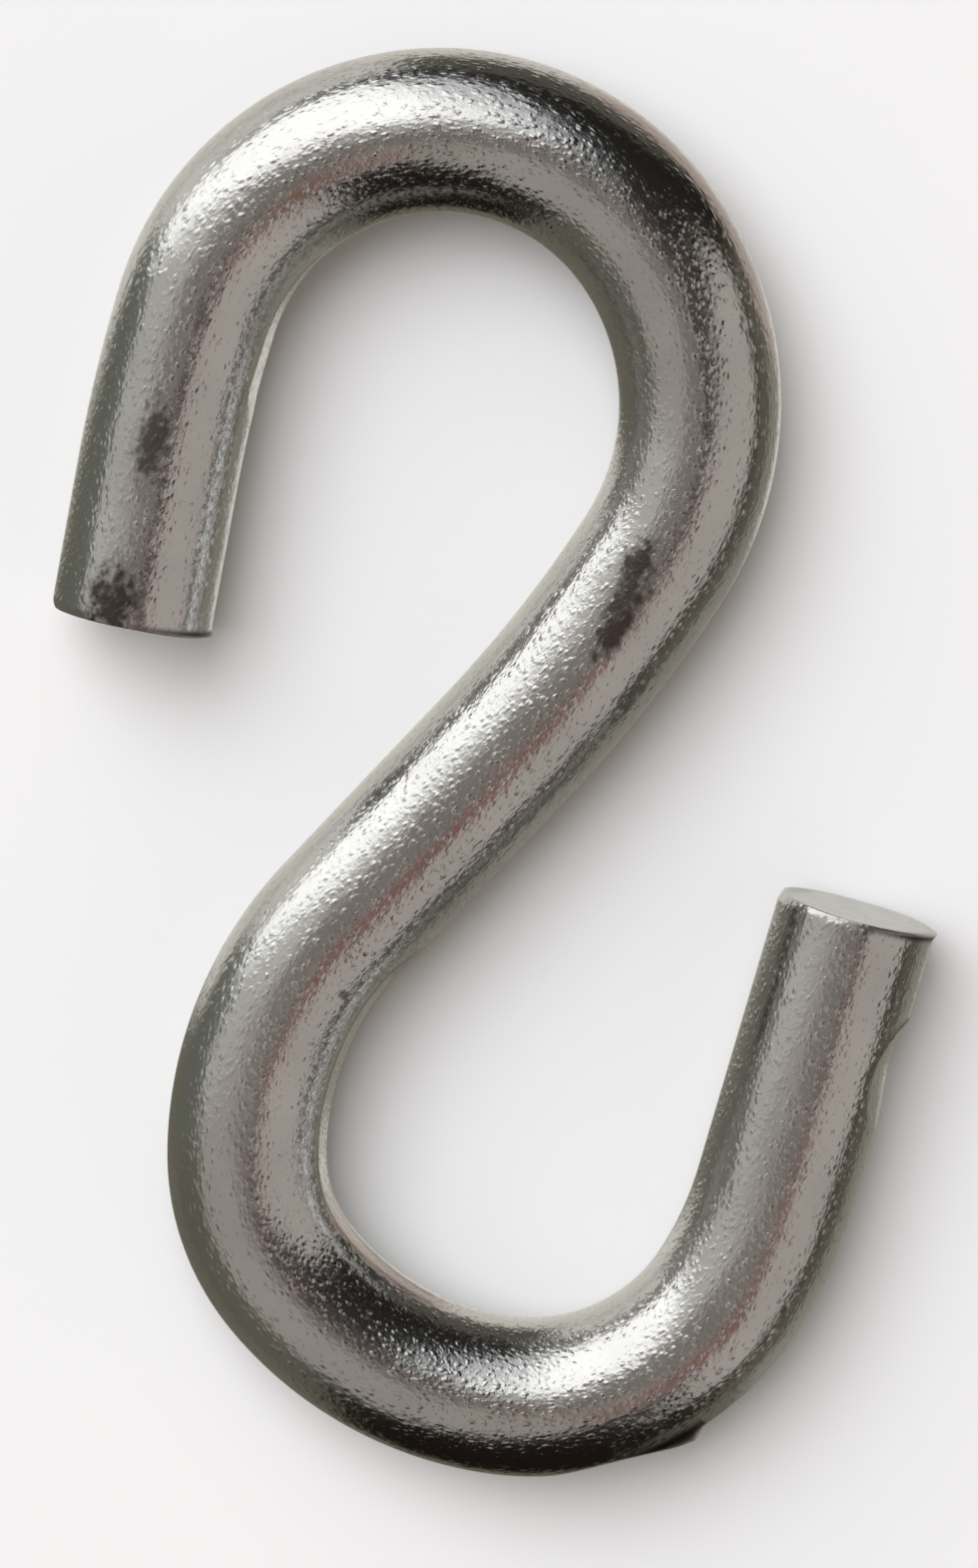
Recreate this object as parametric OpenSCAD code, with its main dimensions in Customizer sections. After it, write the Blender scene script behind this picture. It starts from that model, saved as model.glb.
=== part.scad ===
// S hook of round steel wire, bent as one piece, lying flat on its side.
// +Z is up, the wire is bent in a level plane, and its lowest points touch Z = 0.
// The centres of the two crowns lie on one line along Y, and the upper bight is at +Y.
// The origin is the middle of the outer box, at the resting surface.

/* [Wire] */
// Diameter of the round wire
wire_d = 6.35; // [4:0.05:8]
// Edge that is broken by the shear at each cut end, along the wire
end_break_l = 0.25; // [0.05:0.05:0.6]
// Depth of that broken edge, measured inwards from the wire's surface
end_break_depth = 0.12; // [0.02:0.02:0.4]

/* [Shank] */
// Straight stretch between the two bends
shank_l = 9.35; // [4:0.05:30]

/* [Upper bend] */
// Radius of the gentle sweep that leaves the shank, to the middle of the wire
upper_neck_r = 51; // [20:0.5:90]
// Turn of that sweep, in degrees
upper_neck_turn = 10.7; // [2:0.1:16]
// Radius of the bight's shoulder, on the shank's side of the crown
upper_shoulder_r = 11.3; // [9:0.1:16]
// Turn of the shoulder, in degrees
upper_shoulder_turn = 66.5; // [40:0.5:75]
// Radius of the crown, which carries the load
upper_crown_r = 9.95; // [8:0.05:15]
// Turn of the crown, in degrees
upper_crown_turn = 129; // [90:0.5:135]
// Radius of the last, nearly straight sweep before the leg
upper_tip_r = 58; // [20:0.5:90]
// Turn of that last sweep, in degrees
upper_tip_turn = 6.5; // [1:0.1:10]
// Straight leg of the upper bight, up to its cut end
upper_leg_l = 5.9; // [3:0.05:14]

/* [Lower bend] */
// Radius of the sweep that leaves the shank, to the middle of the wire
lower_neck_r = 14.1; // [11:0.1:20]
// Turn of that sweep, in degrees
lower_neck_turn = 42.4; // [30:0.1:50]
// Radius of the tighter corner under the neck
lower_heel_r = 8; // [6.5:0.1:11]
// Turn of that corner, in degrees
lower_heel_turn = 39.4; // [25:0.1:45]
// Radius of the flatter stretch at the bottom
lower_sole_r = 13.05; // [10:0.05:18]
// Turn of the flatter stretch, in degrees
lower_sole_turn = 42.5; // [25:0.5:50]
// Radius of the crown, which carries the load
lower_crown_r = 9.25; // [7.5:0.05:14]
// Turn of the crown, in degrees
lower_crown_turn = 66.9; // [40:0.1:75]
// Radius of the last sweep before the arm
lower_tip_r = 16.2; // [12:0.1:30]
// Turn of that last sweep, in degrees
lower_tip_turn = 16.2; // [5:0.1:20]
// Straight arm of the lower bight, up to its cut end
lower_arm_l = 11.65; // [5:0.05:18]

/* [Hidden] */
$fn = 96;

wire_r = wire_d / 2;
// How far the ball at each joint of two stretches stands out of the wire, all round
joint_bead = 0.01;
// Height of the wire's middle line: the hook rests on the balls of its joints
middle_z = wire_r + joint_bead;

// Each bend is followed outwards from its end of the shank, and turns to its left.
// A sweep is [radius, turn], and the straight stretch at the cut end is [length].
UPPER_RUN = [
    [upper_neck_r, upper_neck_turn],
    [upper_shoulder_r, upper_shoulder_turn],
    [upper_crown_r, upper_crown_turn],
    [upper_tip_r, upper_tip_turn],
    [upper_leg_l]
];
LOWER_RUN = [
    [lower_neck_r, lower_neck_turn],
    [lower_heel_r, lower_heel_turn],
    [lower_sole_r, lower_sole_turn],
    [lower_crown_r, lower_crown_turn],
    [lower_tip_r, lower_tip_turn],
    [lower_arm_l]
];
UPPER_CROWN = 2;
LOWER_CROWN = 3;

// A pose is a point of the wire's middle line and the way the wire heads there: [x, y, angle]
function unit(angle) = [cos(angle), sin(angle)];
function place(pose) = [pose[0], pose[1]];
function moved(pose, length) = place(pose) + length * unit(pose[2]);
function shank_end(heading) = concat(shank_l / 2 * unit(heading), heading);
function is_sweep(stretch) = len(stretch) == 2;
function sweep_centre(pose, sweep) = place(pose) + sweep[0] * unit(pose[2] + 90);
function after_sweep(pose, sweep) =
    concat(sweep_centre(pose, sweep) + sweep[0] * unit(pose[2] + sweep[1] - 90), pose[2] + sweep[1]);
function after(pose, stretch) =
    is_sweep(stretch) ? after_sweep(pose, stretch) : concat(moved(pose, stretch[0]), pose[2]);
function pose_at(run, count, start) =
    count == 0 ? start : after(pose_at(run, count - 1, start), run[count - 1]);

// The shank leans so that the line between the crowns' centres runs along Y
function crown_centre(run, crown, start) = sweep_centre(pose_at(run, crown, start), run[crown]);
crown_line = crown_centre(UPPER_RUN, UPPER_CROWN, shank_end(90))
    - crown_centre(LOWER_RUN, LOWER_CROWN, shank_end(270));
shank_lean = atan2(crown_line[0], crown_line[1]);
UPPER_START = shank_end(90 + shank_lean);
LOWER_START = shank_end(270 + shank_lean);

// How far a run reaches towards an angle: at its cross-sections, which are flat discs,
// at the outermost point of each sweep that passes it, and at the broken edge of its end
function passes(from, turn, heading) = (heading - from) - 360 * floor((heading - from) / 360) <= turn;
function disc_reach(pose, disc_r, angle) = place(pose) * unit(angle) + disc_r * abs(sin(pose[2] - angle));
function sweep_reach(pose, sweep, angle) =
    passes(pose[2], sweep[1], angle + 90)
        ? sweep_centre(pose, sweep) * unit(angle) + sweep[0] + wire_r
        : disc_reach(pose, wire_r, angle);
function end_reach(pose, angle) = max(
    disc_reach(concat(moved(pose, -end_break_l), pose[2]), wire_r, angle),
    disc_reach(pose, wire_r - end_break_depth, angle)
);
function run_reach(run, start, angle) = max([
    for (i = [0 : len(run)])
        let (pose = pose_at(run, i, start))
        i == len(run) ? end_reach(pose, angle)
        : is_sweep(run[i]) ? sweep_reach(pose, run[i], angle)
        : disc_reach(pose, wire_r, angle)
]);
function reach(angle) =
    max(run_reach(UPPER_RUN, UPPER_START, angle), run_reach(LOWER_RUN, LOWER_START, angle));

box_middle = [(reach(0) - reach(180)) / 2, (reach(90) - reach(270)) / 2];

// A straight stretch from the local origin along +Y
module straight_wire(length) {
    rotate([-90, 0, 0]) cylinder(h = length, r = wire_r);
}

// A sweep from the local origin, which starts along +Y and turns towards -X
module swept_wire(radius, turn) {
    translate([-radius, 0, 0])
        rotate_extrude(angle = turn, start = 0)
            translate([radius, 0]) circle(r = wire_r);
}

// The last stretch, whose sheared end has a narrow broken edge
module end_wire(length) {
    straight_wire(length - end_break_l);
    translate([0, length - end_break_l, 0]) rotate([-90, 0, 0])
        cylinder(h = end_break_l, r1 = wire_r, r2 = wire_r - end_break_depth);
}

// The ball that joins a stretch to the one before it, around the local origin
module joint_ball() {
    rotate([-90, 0, 0]) sphere(r = wire_r + joint_bead);
}

// The stretches of a run, each one placed where the one before it ends
module wire_run(run, start) {
    for (i = [0 : len(run) - 1]) {
        pose = pose_at(run, i, start);
        translate(place(pose)) rotate([0, 0, pose[2] - 90]) {
            joint_ball();
            if (is_sweep(run[i])) {
                swept_wire(run[i][0], run[i][1]);
            } else {
                end_wire(run[i][0]);
            }
        }
    }
}

// The whole hook: one wire, from the cut end of its leg to the cut end of its arm
module wire_hook() {
    color("#a9a6a3")
        translate([-box_middle[0], -box_middle[1], middle_z]) {
            rotate([0, 0, shank_lean]) translate([0, -shank_l / 2, 0]) straight_wire(shank_l);
            wire_run(UPPER_RUN, UPPER_START);
            wire_run(LOWER_RUN, LOWER_START);
        }
}

wire_hook();
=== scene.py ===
"""Visual model of an S hook bent from round, bright zinc-plated steel wire.

The hook lies on its side. +Z is up, +Y is the long way, and lengths are in metres.
"""

import logging
import math
from dataclasses import dataclass, field
from enum import Enum
from typing import Any, ClassVar

import bpy
import numpy as np
from mathutils import Matrix, Vector


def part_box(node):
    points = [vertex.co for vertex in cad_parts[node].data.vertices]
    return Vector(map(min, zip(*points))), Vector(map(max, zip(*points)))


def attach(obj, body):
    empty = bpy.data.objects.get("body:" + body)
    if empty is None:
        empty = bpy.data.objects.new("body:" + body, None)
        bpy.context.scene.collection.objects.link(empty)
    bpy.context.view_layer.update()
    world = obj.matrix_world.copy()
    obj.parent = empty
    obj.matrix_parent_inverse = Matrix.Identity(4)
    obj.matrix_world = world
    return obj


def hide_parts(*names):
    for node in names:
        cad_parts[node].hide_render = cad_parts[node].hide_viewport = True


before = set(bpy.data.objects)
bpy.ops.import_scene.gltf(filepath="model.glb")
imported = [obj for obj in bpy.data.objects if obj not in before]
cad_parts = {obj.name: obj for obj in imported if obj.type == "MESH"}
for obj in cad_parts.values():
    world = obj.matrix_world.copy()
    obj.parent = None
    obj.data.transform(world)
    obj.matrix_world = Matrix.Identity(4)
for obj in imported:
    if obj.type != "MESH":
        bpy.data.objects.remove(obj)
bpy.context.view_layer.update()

MM = 0.001
MIX_FIRST, MIX_SECOND, MIX_RESULT = 6, 7, 2  # colour sockets of a Mix node, which share one name
log = logging.getLogger("s_hook")


def linear(code: str, strength: float = 1.0) -> tuple[float, float, float, float]:
    """Turn an sRGB hex colour into a linear colour.

    Args:
        code: colour as "#rrggbb".
        strength: factor for the linear values.

    Returns:
        Red, green, blue and an alpha of one.
    """
    parts = [int(code[i : i + 2], 16) / 255 for i in (1, 3, 5)]
    red, green, blue = (
        strength * (p / 12.92 if p <= 0.04045 else ((p + 0.055) / 1.055) ** 2.4) for p in parts
    )
    return red, green, blue, 1.0


def add_node(
    tree: bpy.types.NodeTree, kind: str, inputs: dict[Any, Any] | None = None, **settings: Any
) -> bpy.types.Node:
    """Add one node with its settings and fill or link its inputs.

    Args:
        tree: node tree that gets the node.
        kind: Blender's node type.
        inputs: a value, or the output socket to link, for each input's name or number.
        settings: the node's own settings.

    Returns:
        The new node.
    """
    node = tree.nodes.new(kind)
    for name, value in settings.items():
        setattr(node, name, value)
    for key, value in (inputs or {}).items():
        if isinstance(value, bpy.types.NodeSocket):
            tree.links.new(value, node.inputs[key])
        else:
            node.inputs[key].default_value = value
    return node


def new_material(name: str) -> bpy.types.Material:
    """Make a material whose node tree is still empty.

    Args:
        name: what the real material is.

    Returns:
        The material.
    """
    made = bpy.data.materials.new(name)
    made.use_nodes = True
    made.node_tree.nodes.clear()
    return made


def select_none() -> None:
    """Leave object mode with nothing selected."""
    if bpy.context.object and bpy.context.object.mode != "OBJECT":
        bpy.ops.object.mode_set(mode="OBJECT")
    bpy.ops.object.select_all(action="DESELECT")


@dataclass(frozen=True)
class Stretch:
    """One straight or swept stretch of the wire's middle line.

    A straight stretch has a length. A sweep has a radius and a turn in degrees, left positive.
    """

    name: str
    length: float = 0.0
    radius: float = 0.0
    turn: float = 0.0
    pitch: float = 0.25 * MM

    @property
    def run(self) -> float:
        """Length along the middle line."""
        return self.radius * math.radians(abs(self.turn)) if self.turn else self.length

    @property
    def steps(self) -> int:
        """Number of rings that the stretch adds."""
        return max(2, math.ceil(self.run / self.pitch))


@dataclass(frozen=True)
class Pose:
    """A point of the wire's middle line: its place, its heading in radians, how far along it is."""

    x: float
    y: float
    heading: float
    along: float = 0.0

    @property
    def place(self) -> np.ndarray:
        """The point as a vector."""
        return np.array([self.x, self.y])

    @property
    def ahead(self) -> np.ndarray:
        """Unit vector along the wire."""
        return np.array([math.cos(self.heading), math.sin(self.heading)])

    @property
    def left(self) -> np.ndarray:
        """Unit vector to the left of the wire."""
        return np.array([-math.sin(self.heading), math.cos(self.heading)])

    def centre(self, stretch: Stretch) -> np.ndarray:
        """Centre of a sweep that starts here."""
        return self.place + math.copysign(stretch.radius, stretch.turn) * self.left

    def after(self, stretch: Stretch, share: float = 1.0) -> "Pose":
        """Follow a stretch.

        Args:
            stretch: the stretch that starts here.
            share: how much of it to follow, from 0 to 1.

        Returns:
            The pose there.
        """
        along = self.along + share * stretch.run
        if not stretch.turn:
            x, y = self.place + share * stretch.length * self.ahead
            return Pose(x, y, self.heading, along)
        turned = self.heading + share * math.radians(stretch.turn)
        side = np.array([math.sin(turned), -math.cos(turned)])
        x, y = self.centre(stretch) + math.copysign(stretch.radius, stretch.turn) * side
        return Pose(x, y, turned, along)


class MarkShape(Enum):
    """What a tool left on the wire."""

    DENT = "dent"
    LIP = "lip"
    SCOOP = "scoop"
    FLAT = "flat"


@dataclass(frozen=True)
class ToolMark:
    """A mark of the shear or the bending tool.

    along and clock give its middle: along the wire, and round it in degrees from the top,
    towards the left of the heading. length and width are its full size on the surface, and a
    negative length turns the mark's steep end backwards. edge_shade is how strongly painted
    shade darkens its edge.

    The fixed values are shares of the mark's half length or half width, and the powers that
    round its profile.
    """

    DENT_POWER: ClassVar[float] = 1.5
    LIP_RISE: ClassVar[float] = 1.7
    LIP_RISE_POWER: ClassVar[float] = 1.3
    LIP_DROP: ClassVar[float] = 0.3
    SCOOP_START: ClassVar[float] = 1.2
    SCOOP_POWER: ClassVar[float] = 0.45
    FLAT_START: ClassVar[float] = 1.75
    FLAT_POWER: ClassVar[float] = 1.6
    FLAT_END: ClassVar[float] = 0.12
    FLAT_SPAN: ClassVar[float] = 1.2  # how far round the wire a flat may reach, in radians
    SCOOP_EDGE: ClassVar[float] = 0.22
    SCOOP_SHADE_REACH: ClassVar[float] = 0.6
    LIP_EDGE: ClassVar[tuple[float, float]] = (0.95, 0.28)
    LIP_MIDDLE: ClassVar[float] = 0.1
    FLAT_EDGE: ClassVar[float] = 0.03  # width of the painted shade along a flat's edge, in radians
    FLAT_LEAST: ClassVar[float] = 0.02 * MM  # depth from which a flat's edge gets painted shade

    shape: MarkShape
    along: float
    clock: float
    length: float
    width: float
    height: float
    edge_shade: float = 1.0

    def _local(
        self, along: np.ndarray, clock: np.ndarray, radius: float
    ) -> tuple[np.ndarray, np.ndarray]:
        """Place of each vertex in the mark, from -1 to 1 along it and across it."""
        turn = (clock - math.radians(self.clock) + math.pi) % (2 * math.pi) - math.pi
        return (along - self.along) / (self.length / 2), turn * radius / (self.width / 2)

    def offset(self, along: np.ndarray, clock: np.ndarray, radius: float) -> np.ndarray:
        """How far the mark moves the surface outwards.

        Args:
            along: place of each vertex along the wire.
            clock: its angle round the wire, in radians.
            radius: the wire's radius.

        Returns:
            The move of each vertex, negative inwards.
        """
        a, b = self._local(along, clock, radius)
        if self.shape is MarkShape.DENT:
            return -self.height * np.clip(1 - a**2 - b**2, 0, 1) ** self.DENT_POWER
        if self.shape is MarkShape.LIP:
            ramp = np.clip((a + 1) / self.LIP_RISE, 0, 1) ** self.LIP_RISE_POWER
            ramp *= np.clip((1 - a) / self.LIP_DROP, 0, 1)
            return self.height * ramp * np.clip(1 - b**2, 0, 1)
        if self.shape is MarkShape.SCOOP:
            fade = np.clip((a + 1) / self.SCOOP_START, 0, 1)
            return -self.height * fade * np.clip(1 - a**2 - b**2, 0, 1) ** self.SCOOP_POWER
        turn = b * (self.width / 2) / radius
        near = np.abs(turn) < self.FLAT_SPAN
        flat = (radius - self.height * self._fade(a)) / np.cos(np.where(near, turn, 0.0)) - radius
        return np.where(near, np.minimum(flat, 0.0), 0.0)

    def _fade(self, a: np.ndarray) -> np.ndarray:
        """Depth of a flat along it: it starts gently and ends abruptly."""
        rise = np.clip((a + 1) / self.FLAT_START, 0, 1) ** self.FLAT_POWER
        return rise * np.clip((1 - a) / self.FLAT_END, 0, 1)

    def painted_edge_shade(self, along: np.ndarray, clock: np.ndarray, radius: float) -> np.ndarray:
        """How much painted shade darkens the mark along its edge.

        Args:
            along: place of each vertex along the wire.
            clock: its angle round the wire, in radians.
            radius: the wire's radius.

        Returns:
            From none to one at each vertex.
        """
        # painted shade: darkens the scoop's rim, the lip's side and the flat's edge, where their step
        # or crease would lie in shade
        a, b = self._local(along, clock, radius)
        if self.shape is MarkShape.SCOOP:
            edge = np.exp(-(((1 - a**2 - b**2) / self.SCOOP_EDGE) ** 2))
            return self.edge_shade * edge * np.clip(a + self.SCOOP_SHADE_REACH, 0, 1)
        if self.shape is MarkShape.LIP:
            middle, spread = self.LIP_EDGE
            edge = np.exp(-(((b - middle) / spread) ** 2))
            return self.edge_shade * edge * (np.abs(a - self.LIP_MIDDLE) < 1.0)
        if self.shape is MarkShape.FLAT:
            depth = self.height * self._fade(a)
            edge = np.arccos(1 - depth / radius)
            turn = np.abs(b) * (self.width / 2) / radius
            held = np.exp(-(((turn - edge) / self.FLAT_EDGE) ** 2))
            return self.edge_shade * held * (depth > self.FLAT_LEAST)
        return np.zeros(len(along))


@dataclass(frozen=True)
class Stain:
    """A dull brown spot in the plating.

    along is its middle along the wire and side is how far it lies to the left of the top line.
    length and width are its full size.
    """

    along: float
    side: float
    length: float
    width: float
    strength: float = 1.0


class Grain(Enum):
    """Pattern of a layer of relief."""

    SOFT = "soft"
    CRYSTALS = "crystals"


@dataclass(frozen=True)
class Relief:
    """One layer of fine relief: a pattern of a given size, which rises from low to high."""

    name: str
    grain: Grain
    size: float
    height: float
    detail: float = 1.0
    low: float = 0.0
    high: float = 1.0


@dataclass(frozen=True)
class BrightZincPlate:
    """Bright zinc plate on drawn steel wire, barrel plated.

    The plate mirrors the room in clear bands. Its crystals stand out a little and catch the light
    as fine glints, drawn out along the wire. Real ones are a few hundredths of a millimetre wide,
    and they are drawn about a quarter of a millimetre wide, as coarse as they need to show.
    """

    colour: str = "#dadadb"
    shade: str = "#c0c0c1"
    # this brown colours the real stains and also the painted shade along the marks' edges and the cut
    # ends
    stain: str = "#3d2c22"
    ragged: float = 0.4 * MM
    cloud: float = 3.0 * MM
    drawn_out: float = 0.6  # scale of the relief along the wire, where one is as across it
    stain_edge: tuple[float, float] = (1.2, 0.4)  # where a stain starts and is full
    roughness: float = 0.18
    stain_and_shade_roughness: float = 0.4
    wire_radius: float = 3.175 * MM
    reliefs: tuple[Relief, ...] = (
        Relief("crystals", Grain.CRYSTALS, 0.26 * MM, 0.017 * MM, low=0.4, high=0.0),
        Relief("crystal_tips", Grain.SOFT, 0.15 * MM, 0.011 * MM, low=0.59, high=0.84),
        Relief("grain", Grain.SOFT, 0.12 * MM, 0.007 * MM),
        Relief("drawn_lines", Grain.SOFT, 0.3 * MM, 0.018 * MM, 2.0),
        Relief("swell", Grain.SOFT, 1.6 * MM, 0.04 * MM, 0.0),
    )
    stains: tuple[Stain, ...] = (
        Stain(0.9 * MM, 0.7 * MM, 3.6 * MM, 2.4 * MM, 0.9),
        Stain(7.4 * MM, 0.3 * MM, 3.6 * MM, 1.5 * MM, 0.8),
        Stain(48.3 * MM, -0.65 * MM, 2.8 * MM, 1.7 * MM, 0.9),
        Stain(49.6 * MM, -0.3 * MM, 2.8 * MM, 1.5 * MM, 0.85),
        Stain(51.0 * MM, 0.05 * MM, 3.0 * MM, 1.3 * MM, 0.85),
        Stain(69.0 * MM, 1.75 * MM, 0.6 * MM, 0.55 * MM, 0.6),
    )

    def material(self) -> bpy.types.Material:
        """Make the material.

        Returns:
            The material, for the wire's mesh.
        """
        made = new_material("bright_zinc_plate")
        tree = made.node_tree
        wire = add_node(tree, "ShaderNodeAttribute", attribute_name="straight_wire").outputs["Vector"]
        stain_and_shade = self._stains_and_painted_shade(tree, wire)
        cloud = add_node(
            tree, "ShaderNodeTexNoise", {"Vector": wire, "Scale": 1 / self.cloud, "Detail": 4.0}
        ).outputs["Fac"]
        # the brown is laid over the stains and over the painted shade of the marks' edges and cut ends
        tone: Any = linear(self.colour)
        for share, colour in ((cloud, self.shade), (stain_and_shade, self.stain)):
            tone = add_node(
                tree,
                "ShaderNodeMix",
                {"Factor": share, MIX_FIRST: tone, MIX_SECOND: linear(colour)},
                data_type="RGBA",
            ).outputs[MIX_RESULT]
        rough = add_node(
            tree,
            "ShaderNodeMapRange",
            {"Value": stain_and_shade, "To Min": self.roughness, "To Max": self.stain_and_shade_roughness},
        ).outputs[0]
        shader = add_node(
            tree, "ShaderNodeBsdfPrincipled", {"Base Color": tone, "Metallic": 1.0, "Roughness": rough}
        )
        tree.links.new(self._relief(tree, wire), shader.inputs["Normal"])
        add_node(tree, "ShaderNodeOutputMaterial", {"Surface": shader.outputs[0]})
        return made

    def _relief(self, tree: bpy.types.NodeTree, wire: bpy.types.NodeSocket) -> bpy.types.NodeSocket:
        """Lay the layers of relief, each on the one before.

        Args:
            tree: node tree of the material.
            wire: place on the straight wire.

        Returns:
            The normal over all the layers.
        """
        drawn = add_node(
            tree, "ShaderNodeMapping", {"Vector": wire, "Scale": (self.drawn_out, 1.0, 1.0)}
        ).outputs["Vector"]
        under: dict[str, Any] = {}
        for layer in self.reliefs:
            place = {"Vector": drawn, "Scale": 1 / layer.size}
            if layer.grain is Grain.CRYSTALS:
                pattern = add_node(tree, "ShaderNodeTexVoronoi", place).outputs["Distance"]
            else:
                place["Detail"] = layer.detail
                pattern = add_node(tree, "ShaderNodeTexNoise", place).outputs["Fac"]
            kept = add_node(
                tree,
                "ShaderNodeMapRange",
                {"Value": pattern, "From Min": layer.low, "From Max": layer.high},
            ).outputs[0]
            bump = add_node(
                tree,
                "ShaderNodeBump",
                {"Height": kept, "Distance": layer.height, "Strength": 1.0, **under},
                label=layer.name,
            )
            under = {"Normal": bump.outputs[0]}
        return under["Normal"]

    def _stains_and_painted_shade(self, tree: bpy.types.NodeTree, wire: bpy.types.NodeSocket) -> bpy.types.NodeSocket:
        """Gather the stains and the painted shade along the marks' edges and the cut ends.

        The noise that makes a stain's outline ragged moves it by up to one radius either way.

        Args:
            tree: node tree of the material.
            wire: place on the straight wire.

        Returns:
            How stained or dirty each place is, from none to one.
        """
        start, full = self.stain_edge
        # starts from the painted shade stored on the mesh along the marks' edges and the cut ends
        total = add_node(tree, "ShaderNodeAttribute", attribute_name="painted_edge_shade").outputs["Fac"]
        ragged = add_node(
            tree, "ShaderNodeTexNoise", {"Vector": wire, "Scale": 1 / self.ragged, "Detail": 3.0}
        ).outputs["Color"]
        for stain in self.stains:
            top = math.sqrt(self.wire_radius**2 - stain.side**2)
            across = 2 / stain.width
            scale = Vector((2 / stain.length, across, across))
            middle = Vector((stain.along, stain.side, top)) * scale + Vector((1.0, 1.0, 1.0))
            away = add_node(
                tree,
                "ShaderNodeVectorMath",
                {0: ragged, 1: (2.0, 2.0, 2.0), 2: tuple(-middle)},
                operation="MULTIPLY_ADD",
            ).outputs[0]
            away = add_node(
                tree,
                "ShaderNodeVectorMath",
                {0: wire, 1: tuple(scale), 2: away},
                operation="MULTIPLY_ADD",
            ).outputs[0]
            reach = add_node(tree, "ShaderNodeVectorMath", {0: away}, operation="LENGTH").outputs[1]
            spot = add_node(
                tree,
                "ShaderNodeMapRange",
                {"Value": reach, "From Min": start, "From Max": full, "To Max": stain.strength},
                interpolation_type="SMOOTHSTEP",
            ).outputs[0]
            total = add_node(
                tree, "ShaderNodeMath", {0: total, 1: spot}, operation="MAXIMUM"
            ).outputs[0]
        return total


@dataclass(frozen=True)
class ShearedEnd:
    """Steel face left by the shear and thinly plated.

    It is paler and duller than the wire, because the torn metal scatters the light.
    """

    colour: str = "#e8ebf0"
    shade: str = "#cccfd3"
    roughness: float = 0.36
    mottle: float = 0.9 * MM
    tear: float = 0.25 * MM
    tear_height: float = 0.03 * MM

    def material(self) -> bpy.types.Material:
        """Make the material.

        Returns:
            The material, for both cut ends.
        """
        made = new_material("sheared_zinc_plated_steel")
        tree = made.node_tree
        wire = add_node(tree, "ShaderNodeAttribute", attribute_name="straight_wire").outputs["Vector"]
        mottle = add_node(
            tree, "ShaderNodeTexNoise", {"Vector": wire, "Scale": 1 / self.mottle, "Detail": 4.0}
        ).outputs["Fac"]
        tear = add_node(
            tree, "ShaderNodeTexNoise", {"Vector": wire, "Scale": 1 / self.tear, "Detail": 3.0}
        ).outputs["Fac"]
        tone = add_node(
            tree,
            "ShaderNodeMix",
            {"Factor": mottle, MIX_FIRST: linear(self.colour), MIX_SECOND: linear(self.shade)},
            data_type="RGBA",
        ).outputs[MIX_RESULT]
        bump = add_node(
            tree, "ShaderNodeBump", {"Height": tear, "Distance": self.tear_height}
        ).outputs[0]
        shader = add_node(
            tree,
            "ShaderNodeBsdfPrincipled",
            {"Base Color": tone, "Metallic": 1.0, "Roughness": self.roughness, "Normal": bump},
        )
        add_node(tree, "ShaderNodeOutputMaterial", {"Surface": shader.outputs[0]})
        return made


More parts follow.
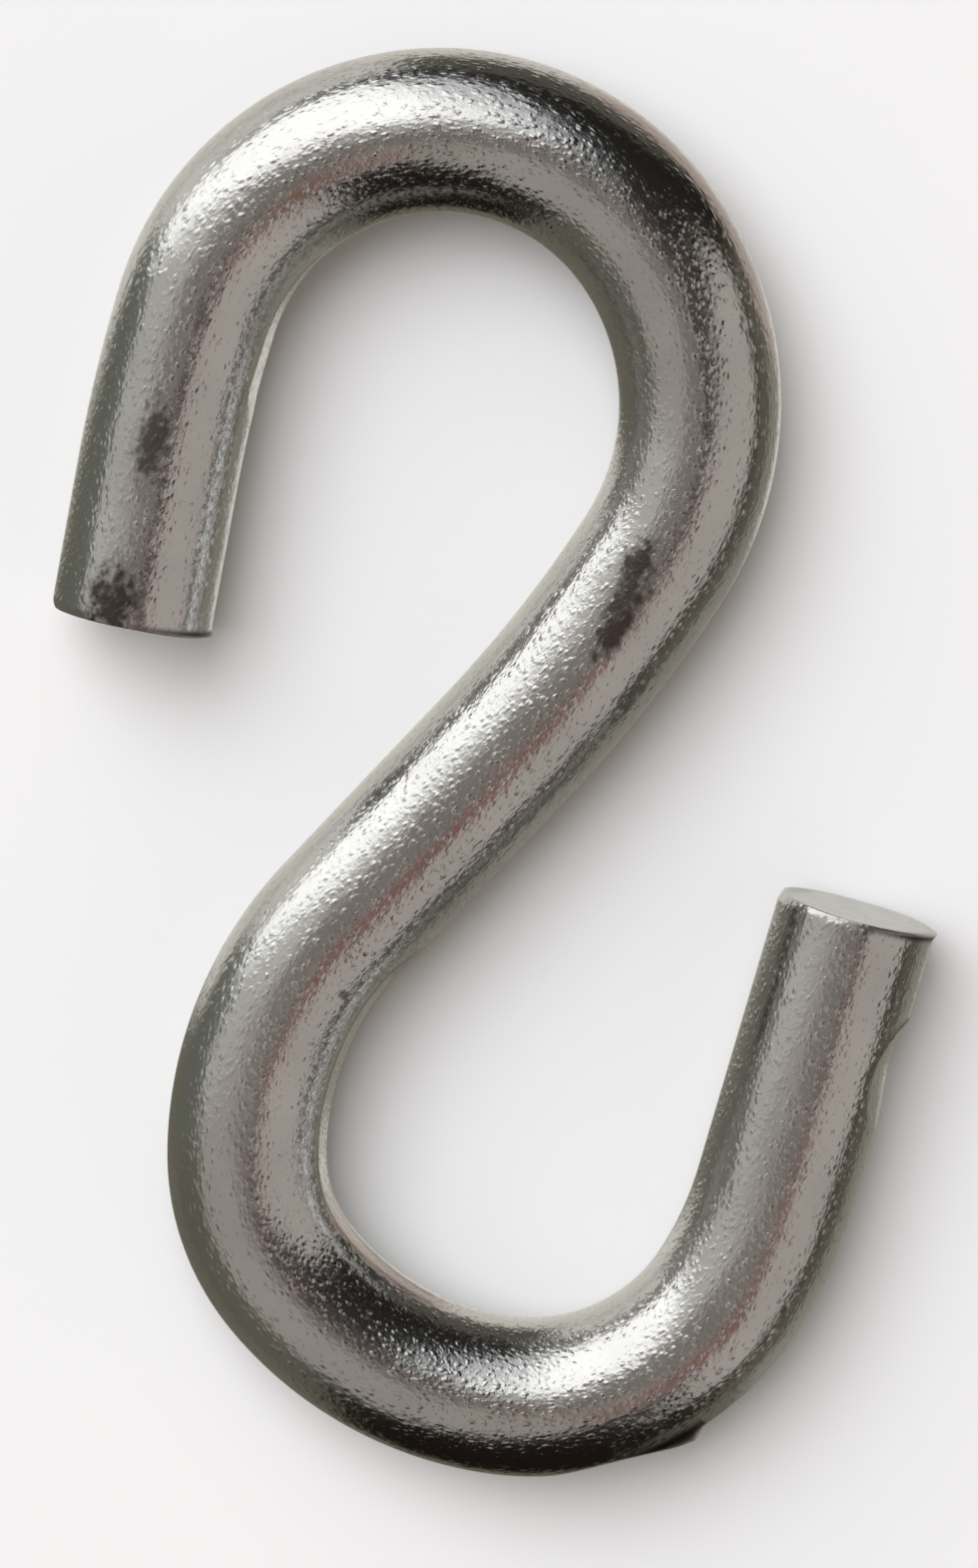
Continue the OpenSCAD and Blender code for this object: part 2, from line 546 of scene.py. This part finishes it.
@dataclass
class WireHook:
    """The hook: one length of round wire with a bight at each end.

    The sheared faces lean across the wire by face_lean, and step by twice tear_step at
    tear_place, where the metal tore.
    """

    node: str = "wire_hook"
    wire_diameter: float = 6.35 * MM
    sides: int = 128
    rest_gap: float = 0.01 * MM
    end_break: float = 0.42 * MM
    end_break_depth: float = 0.12 * MM
    burr: float = 0.11 * MM
    face_lean: float = -0.03
    tear_step: float = 0.02 * MM
    tear_place: float = 0.9 * MM
    tear_width: float = 0.25 * MM
    tear_slant: float = 0.35
    # painted shade: a dark band behind each cut end's edge, strongest behind the burr
    end_shade_gap: float = 0.1 * MM
    end_shade_spread: float = 0.12 * MM
    end_shade: float = 0.45
    end_shade_change: float = 0.6
    end_shade_most: float = 0.9
    upper_crown: str = "upper_crown"
    lower_crown: str = "lower_crown"
    path: tuple[Stretch, ...] = (
        Stretch("leg_edge", length=0.5 * MM, pitch=0.05 * MM),
        Stretch("upper_leg", length=5.4 * MM),
        Stretch("upper_tip", radius=58 * MM, turn=-6.5),
        Stretch("upper_crown", radius=9.95 * MM, turn=-129),
        Stretch("upper_shoulder", radius=11.3 * MM, turn=-66.5),
        Stretch("upper_neck", radius=51 * MM, turn=-10.7),
        Stretch("shank", length=9.35 * MM),
        Stretch("lower_neck", radius=14.1 * MM, turn=42.4),
        Stretch("lower_heel", radius=8 * MM, turn=39.4),
        Stretch("lower_sole", radius=13.05 * MM, turn=42.5),
        Stretch("lower_crown", radius=9.25 * MM, turn=66.9, pitch=0.12 * MM),
        Stretch("lower_tip", radius=16.2 * MM, turn=16.2, pitch=0.12 * MM),
        Stretch("lower_arm", length=11.15 * MM, pitch=0.12 * MM),
        Stretch("arm_edge", length=0.5 * MM, pitch=0.05 * MM),
    )
    # where a mark has a seventh number, it is how strongly painted shade darkens its edge
    marks: tuple[ToolMark, ...] = (
        ToolMark(MarkShape.DENT, 96.4 * MM, -92, 4.4 * MM, 4.0 * MM, 0.26 * MM),
        ToolMark(MarkShape.LIP, 97.9 * MM, -98, 3.0 * MM, 3.8 * MM, 0.42 * MM),
        ToolMark(MarkShape.SCOOP, 113.6 * MM, -80, 4.6 * MM, 3.9 * MM, 0.30 * MM, 0.8),
        ToolMark(MarkShape.SCOOP, 99.2 * MM, -44, -5.2 * MM, 2.8 * MM, 0.11 * MM, 0.1),
        ToolMark(MarkShape.FLAT, 15.0 * MM, -80, -12.0 * MM, 2.6 * MM, 0.13 * MM, 0.6),
        ToolMark(MarkShape.FLAT, 80.5 * MM, 78, -30.5 * MM, 2.8 * MM, 0.16 * MM, 0.6),
    )
    cap_rings: int = 11
    finish: BrightZincPlate = field(default_factory=BrightZincPlate)
    end_finish: ShearedEnd = field(default_factory=ShearedEnd)

    @property
    def radius(self) -> float:
        """Radius of the wire."""
        return self.wire_diameter / 2

    @property
    def level(self) -> float:
        """Height of the middle line above the resting surface."""
        return self.radius + self.rest_gap

    def poses(self, start: Pose) -> list[Pose]:
        """Follow the path.

        Args:
            start: pose of the leg's cut end.

        Returns:
            The pose at the start of each stretch, and at the arm's cut end.
        """
        found = [start]
        for stretch in self.path:
            found.append(found[-1].after(stretch))
        return found

    def rings(self, start: Pose) -> list[Pose]:
        """Poses of all the rings that the mesh gets.

        Args:
            start: pose of the leg's cut end.

        Returns:
            One pose for each ring, from the leg's cut end to the arm's.
        """
        found = [start]
        for pose, stretch in zip(self.poses(start), self.path):
            found += [pose.after(stretch, (i + 1) / stretch.steps) for i in range(stretch.steps)]
        return found

    def start(self) -> Pose:
        """Place the leg's cut end so that the crowns line up on Y and the CAD's box is met.

        Returns:
            The pose of the leg's cut end.
        """
        flat = Pose(0.0, 0.0, 0.0)
        centres = {
            stretch.name: pose.centre(stretch)
            for pose, stretch in zip(self.poses(flat), self.path)
            if stretch.turn
        }
        line = centres[self.upper_crown] - centres[self.lower_crown]
        turned = Pose(0.0, 0.0, math.pi / 2 - math.atan2(line[1], line[0]))
        reach = np.array(
            [
                [sign * p.place[axis] + self.radius * abs(p.left[axis]) for p in self.rings(turned)]
                for axis in (0, 1)
                for sign in (-1, 1)
            ]
        ).max(axis=1)
        low, high = (np.array(corner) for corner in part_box(self.node))
        middle = (low + high)[:2] / 2
        shift = middle - np.array([reach[1] - reach[0], reach[3] - reach[2]]) / 2
        return Pose(shift[0], shift[1], turned.heading)

    def build(self) -> bpy.types.Object:
        """Bend the wire, cut its ends and mark it.

        Returns:
            The finished hook.
        """
        select_none()
        start = self.start()
        bpy.ops.mesh.primitive_circle_add(
            vertices=self.sides,
            radius=self.radius,
            fill_type="NOTHING",
            location=(start.x, start.y, self.level),
            rotation=(math.pi / 2, 0.0, start.heading - math.pi / 2),
        )
        hook = bpy.context.object
        hook.name = hook.data.name = "zinc_wire_hook"
        bpy.ops.object.transform_apply(location=True, rotation=True, scale=True)
        bpy.ops.object.mode_set(mode="EDIT")
        bpy.ops.mesh.select_all(action="SELECT")
        for pose, stretch in zip(self.poses(start), self.path):
            self._draw(pose, stretch)
        self._close_ends()
        bpy.ops.object.mode_set(mode="OBJECT")
        self._lay_out(hook, self.rings(start))
        bpy.ops.object.mode_set(mode="EDIT")
        bpy.ops.mesh.select_all(action="SELECT")
        bpy.ops.mesh.normals_make_consistent(inside=False)
        bpy.ops.object.mode_set(mode="OBJECT")
        bpy.ops.object.shade_smooth()
        hook.data.materials.clear()
        hook.data.materials.append(self.finish.material())
        hook.data.materials.append(self.end_finish.material())
        wire_vertices = len(self.rings(start)) * self.sides
        for face in hook.data.polygons:
            # The vertices that follow those of the wire belong to the insets of its cut ends
            if max(face.vertices) >= wire_vertices:
                face.material_index = 1
        return hook

    def _close_ends(self) -> None:
        """Close both ends with a face, and inset it in rings."""
        bpy.ops.mesh.select_all(action="SELECT")
        bpy.ops.mesh.fill_holes(sides=0)
        bpy.ops.mesh.select_all(action="DESELECT")
        bpy.ops.mesh.select_face_by_sides(number=4, type="GREATER")
        for _ in range(self.cap_rings):
            bpy.ops.mesh.inset(thickness=self.radius / (self.cap_rings + 1), use_individual=True)

    def _draw(self, pose: Pose, stretch: Stretch) -> None:
        """Carry the selected ring along a stretch.

        Args:
            pose: where the stretch starts.
            stretch: the stretch to draw.
        """
        if stretch.turn:
            centre = pose.centre(stretch)
            bpy.ops.mesh.spin(
                steps=stretch.steps,
                angle=-math.radians(stretch.turn),
                center=(centre[0], centre[1], self.level),
                axis=(0, 0, 1),
            )
            return
        step = pose.ahead * stretch.length / stretch.steps
        for _ in range(stretch.steps):
            bpy.ops.mesh.extrude_region_move(TRANSFORM_OT_translate={"value": (step[0], step[1], 0.0)})

    def _lay_out(self, hook: bpy.types.Object, rings: list[Pose]) -> None:
        """Store where each vertex lay on the straight wire, and move the marked ones.

        The vertices stand in the order of the rings, and those of the two caps follow. A vertex
        of a cap belongs to the nearer end.

        Args:
            hook: the bent wire.
            rings: pose of each ring.
        """
        mesh = hook.data
        place = np.empty(len(mesh.vertices) * 3)
        mesh.vertices.foreach_get("co", place)
        place = place.reshape(-1, 3)
        middles = np.array([[r.x, r.y, self.level] for r in rings])
        index = np.arange(len(place)) // self.sides
        capped = index >= len(rings)
        gaps = [np.linalg.norm(place - middles[end], axis=1) for end in (0, -1)]
        index[capped] = np.where(gaps[0] < gaps[1], 0, len(rings) - 1)[capped]
        left = np.array([[*r.left, 0.0] for r in rings])[index]
        ahead = np.array([[*r.ahead, 0.0] for r in rings])[index]
        along = np.array([r.along for r in rings])[index]
        arm = place - middles[index]
        side = (arm * left).sum(axis=1)
        clock = np.arctan2(side, arm[:, 2])
        reach = np.linalg.norm(arm, axis=1)
        untrue = abs(reach - self.radius)[~capped].max()
        log.info("rings of the wire are true within %.5f mm", untrue / MM)
        offset = sum((m.offset(along, clock, self.radius) for m in self.marks), np.zeros(len(place)))
        offset += self._end_offset(along, clock, rings[-1].along)
        offset *= reach / self.radius
        normal = arm / np.maximum(reach, 1e-9)[:, None]
        outwards = np.where(index == 0, -1.0, 1.0) * capped * self._end_relief(side, arm[:, 2])
        moved = place + normal * offset[:, None] + ahead * outwards[:, None]
        mesh.vertices.foreach_set("co", moved.ravel())
        straight = mesh.attributes.new("straight_wire", "FLOAT_VECTOR", "POINT")
        straight.data.foreach_set("vector", np.stack([along, side, arm[:, 2]], axis=1).ravel())
        # painted shade along the marks' edges and behind the cut ends, stored for the material
        painted_edge_shade = mesh.attributes.new("painted_edge_shade", "FLOAT", "POINT")
        held = [m.painted_edge_shade(along, clock, self.radius) for m in self.marks]
        held.append(self._end_painted_shade(along, clock, rings[-1].along) * ~capped)
        painted_edge_shade.data.foreach_set("value", np.max(held, axis=0))
        mesh.update()

    def _end_offset(self, along: np.ndarray, clock: np.ndarray, total: float) -> np.ndarray:
        """Rounded edge on the left of each cut end and a burr on its right.

        Args:
            along: place of each vertex along the wire.
            clock: its angle round the wire, in radians.
            total: length of the wire.

        Returns:
            The move of each vertex, negative inwards.
        """
        near = np.clip(1 - np.minimum(along, total - along) / self.end_break, 0, 1)
        rounded = (1 + np.sin(clock)) / 2
        return self.burr * near**3 * (1 - rounded) ** 2 - self.end_break_depth * near**2 * rounded

    def _end_painted_shade(self, along: np.ndarray, clock: np.ndarray, total: float) -> np.ndarray:
        """Painted shade behind the edge of each cut end, most of it behind the burr.

        Args:
            along: place of each vertex along the wire.
            clock: its angle round the wire, in radians.
            total: length of the wire.

        Returns:
            From none to one at each vertex.
        """
        gap = np.minimum(along, total - along)
        near = np.exp(-(((gap - self.end_shade_gap) / self.end_shade_spread) ** 2))
        held = self.end_shade - self.end_shade_change * np.sin(clock)
        return near * np.clip(held, 0, self.end_shade_most)

    def _end_relief(self, side: np.ndarray, up: np.ndarray) -> np.ndarray:
        """How far the sheared face stands out of its plane.

        Args:
            side: place of each vertex across the wire.
            up: its height over the middle line.

        Returns:
            The move along the wire: the face leans, and steps where the metal tore.
        """
        tear = np.tanh((side + self.tear_slant * up - self.tear_place) / self.tear_width)
        return self.face_lean * side - self.tear_step * tear


@dataclass(frozen=True)
class Panel:
    """A soft patch of the studio's surroundings, as the hook sees it.

    low and high limit it as angles from the line of sight back to the camera. Each edge is a
    straight edge in space: the azimuth that it faces, clockwise from the top of the view, and
    its angle from the line of sight there. All in degrees.
    """

    name: str
    colour: str
    edges: tuple[tuple[float, float], ...] = ()
    low: float = -90.0
    high: float = 270.0
    strength: float = 1.6
    blur: float = 4.0


def sector(start: float, end: float) -> tuple[tuple[float, float], ...]:
    """Edges of a sector between two azimuths, less than half a turn apart."""
    return (start - 90.0, 0.0), (end + 90.0, 0.0)


@dataclass
class Studio:
    """Floor, surroundings, lamp and camera."""

    aim: tuple[float, float, float] = (-0.29 * MM, -0.48 * MM, 3.185 * MM)
    tilt: float = 8.0
    turn: float = 6.6
    distance: float = 250 * MM
    field_height: float = 61.97 * MM
    sensor: float = 36.0
    clip: tuple[float, float] = (0.01, 100.0)
    floor_colour: str = "#f1f1f0"
    floor_size: float = 40.0
    floor_roughness: float = 0.9
    floor_specular: float = 0.1
    lamp_from: tuple[float, float, float] = (-0.35, 0.55, 1.1)
    lamp_width: float = 50.0
    lamp_strength: float = 2.05
    lamp_colour: str = "#f5f7ff"
    dark: str = "#211f1b"
    panels: tuple[Panel, ...] = (
        Panel("shaded_sheet", "#5c594e", low=114),
        Panel("lit_sheet_top", "#b8b5ab", sector(285, 60), low=121),
        Panel("lit_sheet_right", "#9c9087", sector(25, 82), low=117),
        Panel("dim_sheet_right", "#78756b", sector(82, 142), low=117),
        Panel("far_side_left", "#55534a", sector(205, 305), low=70, high=114),
        Panel("sheet_below", "#bab7af", sector(290, 108), low=148),
        Panel("brown_edge", "#362a28", sector(85, 175), low=4, high=30),
        Panel("shadow_below", "#15100d", sector(157, 208), low=30, high=142),
        Panel("warm_wall_left", "#6c6661", sector(157, 320), high=28),
        Panel("grey_wall_left", "#8b867f", (*sector(163, 292), (122, 36.5)), low=23, high=72),
        Panel("pale_wall_left", "#a19f98", sector(264, 292), low=30, high=78),
        Panel("cool_side_left", "#595b53", sector(262, 298), low=78, high=120),
        Panel("rose_wall_right", "#9a938c", ((321.5, -23.5), (247, 0), (338, 0)), high=84),
        Panel("red_edge_below", "#6a453c", sector(146, 172), low=25, high=41),
        Panel("far_side_right", "#524e44", sector(66, 150), low=93, high=114),
        Panel(
            "window_dim",
            "#bfc1c0",
            ((90, 23), (115, 6), (200, -4.5), (320, 86), (30, 66)),
            low=4,
            strength=1.5,
            blur=7,
        ),
        Panel(
            "window",
            "#fbfaf5",
            ((74, 13), (115, 2), (200, -6), (320, 88), (30, 70)),
            low=10,
            strength=1.7,
            blur=6,
        ),
        Panel("dim_side_top", "#4b4842", sector(352, 46), low=88, high=114),
        Panel("window_sill", "#b9b7af", sector(296, 352), low=90, high=118),
        Panel("above_camera", "#a29c95", high=6, blur=2.0),
    )

    def axes(self) -> tuple[Vector, Vector, Vector]:
        """Directions of the view.

        Returns:
            Unit vectors to its right, to its top and back to the camera.
        """
        turn, tilt = math.radians(self.turn), math.radians(self.tilt)
        top = Vector((math.sin(turn), math.cos(turn), 0.0))
        back = Vector((0.0, 0.0, math.cos(tilt))) + top * math.sin(tilt)
        right = top.cross(back).normalized()
        return right, back.cross(right), back

    def add_camera(self) -> None:
        """Aim the camera down at the hook."""
        right, top, back = self.axes()
        data = bpy.data.cameras.new("camera")
        data.sensor_width = self.sensor
        data.lens = self.sensor * self.distance / self.field_height
        data.clip_start, data.clip_end = self.clip
        camera = bpy.data.objects.new("camera", data)
        turned = Matrix((right, top, back)).transposed().to_4x4()
        camera.matrix_world = Matrix.Translation(Vector(self.aim) + back * self.distance) @ turned
        bpy.context.collection.objects.link(camera)
        bpy.context.scene.camera = camera

    def add_floor(self) -> None:
        """Lay a plain pale floor, out to beyond every view."""
        select_none()
        bpy.ops.mesh.primitive_plane_add(size=self.floor_size, location=(0.0, 0.0, 0.0))
        floor = bpy.context.object
        floor.name = "studio_floor"
        floor.visible_glossy = False
        made = bpy.data.materials.new("matt_white_sheet")
        made.use_nodes = True
        shader = made.node_tree.nodes["Principled BSDF"]
        shader.inputs["Base Color"].default_value = linear(self.floor_colour)
        shader.inputs["Roughness"].default_value = self.floor_roughness
        shader.inputs["Specular IOR Level"].default_value = self.floor_specular
        floor.data.materials.append(made)

    def add_lamp(self) -> None:
        """Light the floor evenly with a wide, distant lamp that the metal doesn't mirror."""
        data = bpy.data.lights.new("overhead_lamp", "SUN")
        data.angle = math.radians(self.lamp_width)
        data.energy = self.lamp_strength
        data.color = linear(self.lamp_colour)[:3]
        lamp = bpy.data.objects.new("overhead_lamp", data)
        lamp.rotation_euler = Vector(self.lamp_from).to_track_quat("Z", "Y").to_euler()
        lamp.visible_glossy = False
        lamp.visible_camera = False
        bpy.context.collection.objects.link(lamp)

    def _share(
        self,
        tree: bpy.types.NodeTree,
        panel: Panel,
        way: bpy.types.NodeSocket,
        off_axis: bpy.types.NodeSocket,
    ) -> bpy.types.NodeSocket:
        """Limit one panel softly.

        Args:
            tree: node tree of the world.
            panel: the panel.
            way: direction that the world is seen in.
            off_axis: its angle from the line of sight back to the camera, in degrees.

        Returns:
            How much of the panel is seen in that direction, from none to one.
        """
        right, top, back = self.axes()
        soft = math.sin(math.radians(panel.blur))
        limits = [
            (off_axis, panel.high + panel.blur, panel.high - panel.blur),
            (off_axis, panel.low - panel.blur, panel.low + panel.blur),
        ]
        for azimuth, angle in panel.edges:
            faced, lean = math.radians(azimuth), math.radians(angle)
            outwards = top * math.cos(faced) + right * math.sin(faced)
            inwards = back * math.sin(lean) - outwards * math.cos(lean)
            across = add_node(
                tree, "ShaderNodeVectorMath", {0: way, 1: tuple(inwards)}, operation="DOT_PRODUCT"
            ).outputs["Value"]
            limits.append((across, -soft, soft))
        share: Any = 1.0
        for value, none, full in limits:
            fade = add_node(
                tree,
                "ShaderNodeMapRange",
                {"Value": value, "From Min": none, "From Max": full},
                interpolation_type="SMOOTHSTEP",
            ).outputs[0]
            share = add_node(
                tree, "ShaderNodeMath", {0: share, 1: fade}, operation="MULTIPLY"
            ).outputs[0]
        return share

    def add_surroundings(self) -> None:
        """Set soft panels round the hook for the metal to mirror."""
        back = self.axes()[2]
        world = bpy.data.worlds.new("studio")
        bpy.context.scene.world = world
        world.use_nodes = True
        tree = world.node_tree
        tree.nodes.clear()
        way = add_node(tree, "ShaderNodeTexCoord").outputs["Generated"]
        off_axis = add_node(
            tree, "ShaderNodeVectorMath", {0: way, 1: tuple(back)}, operation="DOT_PRODUCT"
        ).outputs["Value"]
        for operation in ("ARCCOSINE", "DEGREES"):
            off_axis = add_node(tree, "ShaderNodeMath", {0: off_axis}, operation=operation).outputs[0]
        colour: Any = linear(self.dark)
        for panel in self.panels:
            share = self._share(tree, panel, way, off_axis)
            colour = add_node(
                tree,
                "ShaderNodeMix",
                {
                    "Factor": share,
                    MIX_FIRST: colour,
                    MIX_SECOND: linear(panel.colour, panel.strength),
                },
                data_type="RGBA",
                label=panel.name,
            ).outputs[MIX_RESULT]
        seen = add_node(tree, "ShaderNodeLightPath").outputs["Is Camera Ray"]
        colour = add_node(
            tree,
            "ShaderNodeMix",
            {"Factor": seen, MIX_FIRST: colour, MIX_SECOND: linear(self.floor_colour)},
            data_type="RGBA",
        ).outputs[MIX_RESULT]
        background = add_node(tree, "ShaderNodeBackground", {"Color": colour, "Strength": 1.0})
        add_node(tree, "ShaderNodeOutputWorld", {"Surface": background.outputs[0]})

    def build(self) -> None:
        """Set up everything round the hook."""
        self.add_camera()
        self.add_floor()
        self.add_lamp()
        self.add_surroundings()
        bpy.context.scene.view_settings.view_transform = "Standard"


def main() -> None:
    """Build the hook and the studio, and report the pieces."""
    logging.basicConfig(level=logging.INFO, format="%(name)s: %(message)s")
    hook = WireHook().build()
    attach(hook, "root")
    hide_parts("wire_hook")
    log.info("%s: %d vertices", hook.name, len(hook.data.vertices))
    Studio().build()


if __name__ == "__main__":
    main()
